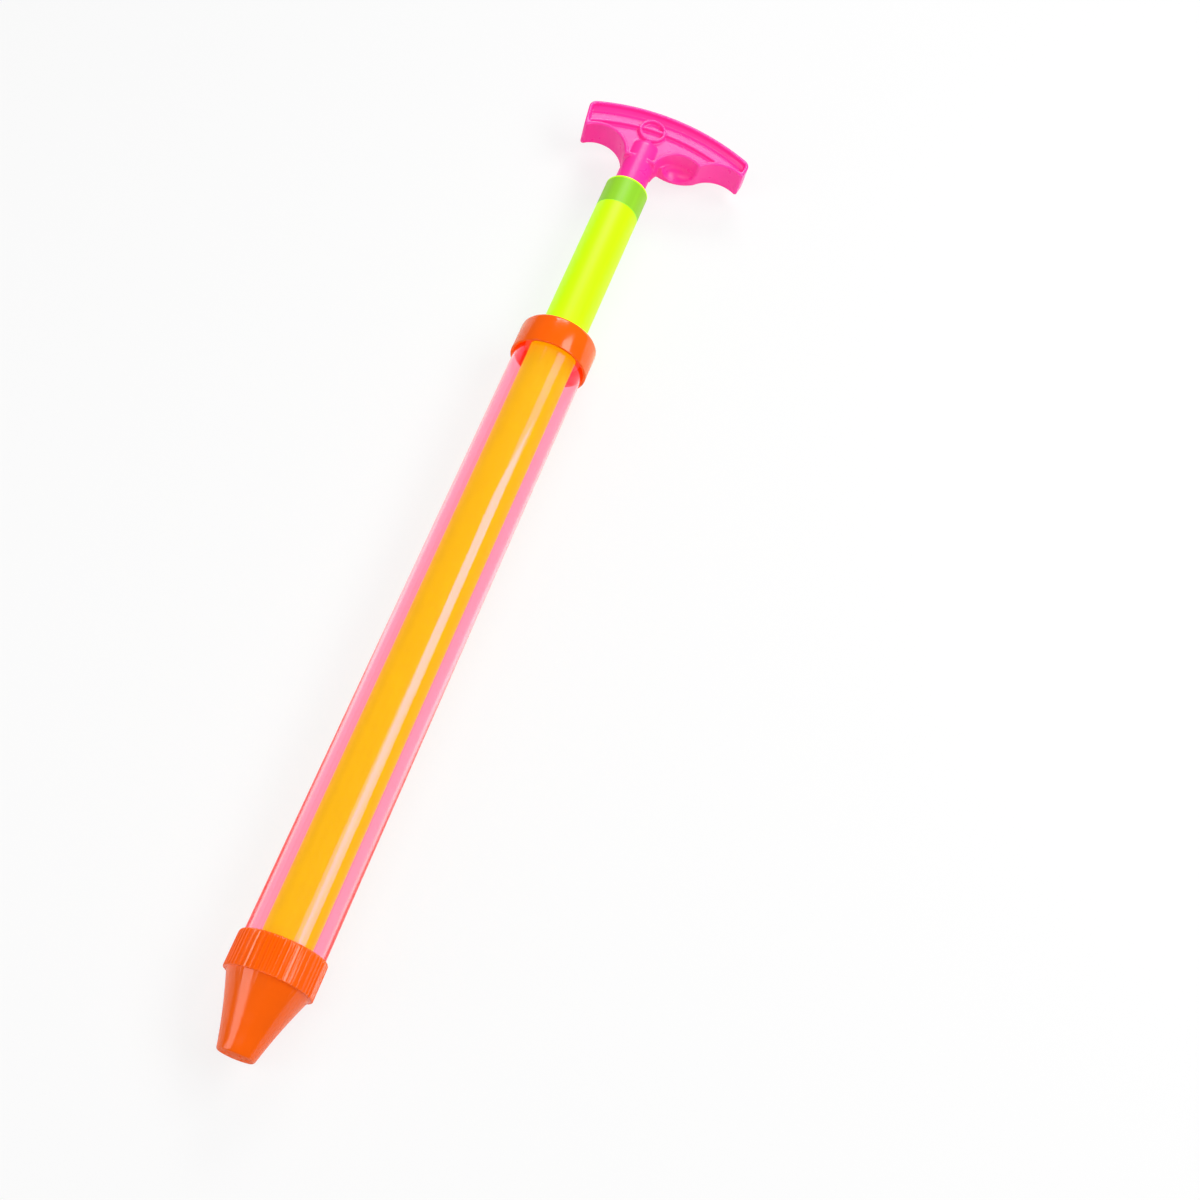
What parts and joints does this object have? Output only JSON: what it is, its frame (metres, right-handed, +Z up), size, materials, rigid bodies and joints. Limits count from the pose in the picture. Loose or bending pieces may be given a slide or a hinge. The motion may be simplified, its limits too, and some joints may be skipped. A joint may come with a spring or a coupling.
{
  "type": "water squirter",
  "caption": "Hand-pumped water squirter: a clear barrel with a ribbed conical nozzle cap, an end cap, and a sliding tube plunger with a T-shaped finger grip.",
  "frame": {"origin": "centre of the bounding box at its bottom, on the surface that the two caps rest on", "axes": "+X along the pump's axis from the nozzle tip to the grip, +Z up, and the grip's long arm towards -Y"},
  "size_m": [0.469, 0.0808, 0.0352],
  "materials": {
    "orange_plastic": "satin",
    "clear_pink_plastic": "gloss, transparent",
    "lime_plastic": "gloss, translucent",
    "plug_plastic": "satin",
    "pink_plastic": "satin",
    "black_rubber": "matte"
  },
  "bodies": {
    "barrel": {"barrel_tube": "clear_pink_plastic", "nozzle_cap": "orange_plastic", "nozzle_gasket": "black_rubber", "end_cap": "orange_plastic"},
    "seal": {"piston_ring": "black_rubber"},
    "plunger": {"rod_tube": "lime_plastic", "rod_plug": "plug_plastic", "piston": "orange_plastic", "grip_handle": "pink_plastic"}
  },
  "joints": [
    {"name": "plunger_slide", "type": "slide", "parent": "barrel", "child": "seal", "axis": [1, 0, 0], "range_m": [0, 0.28]},
    {"name": "plunger_turn", "type": "hinge", "parent": "seal", "child": "plunger", "pos_m": [-0.19835, 0.00808, 0.0176], "axis": [1, 0, 0], "continuous": true}
  ]
}
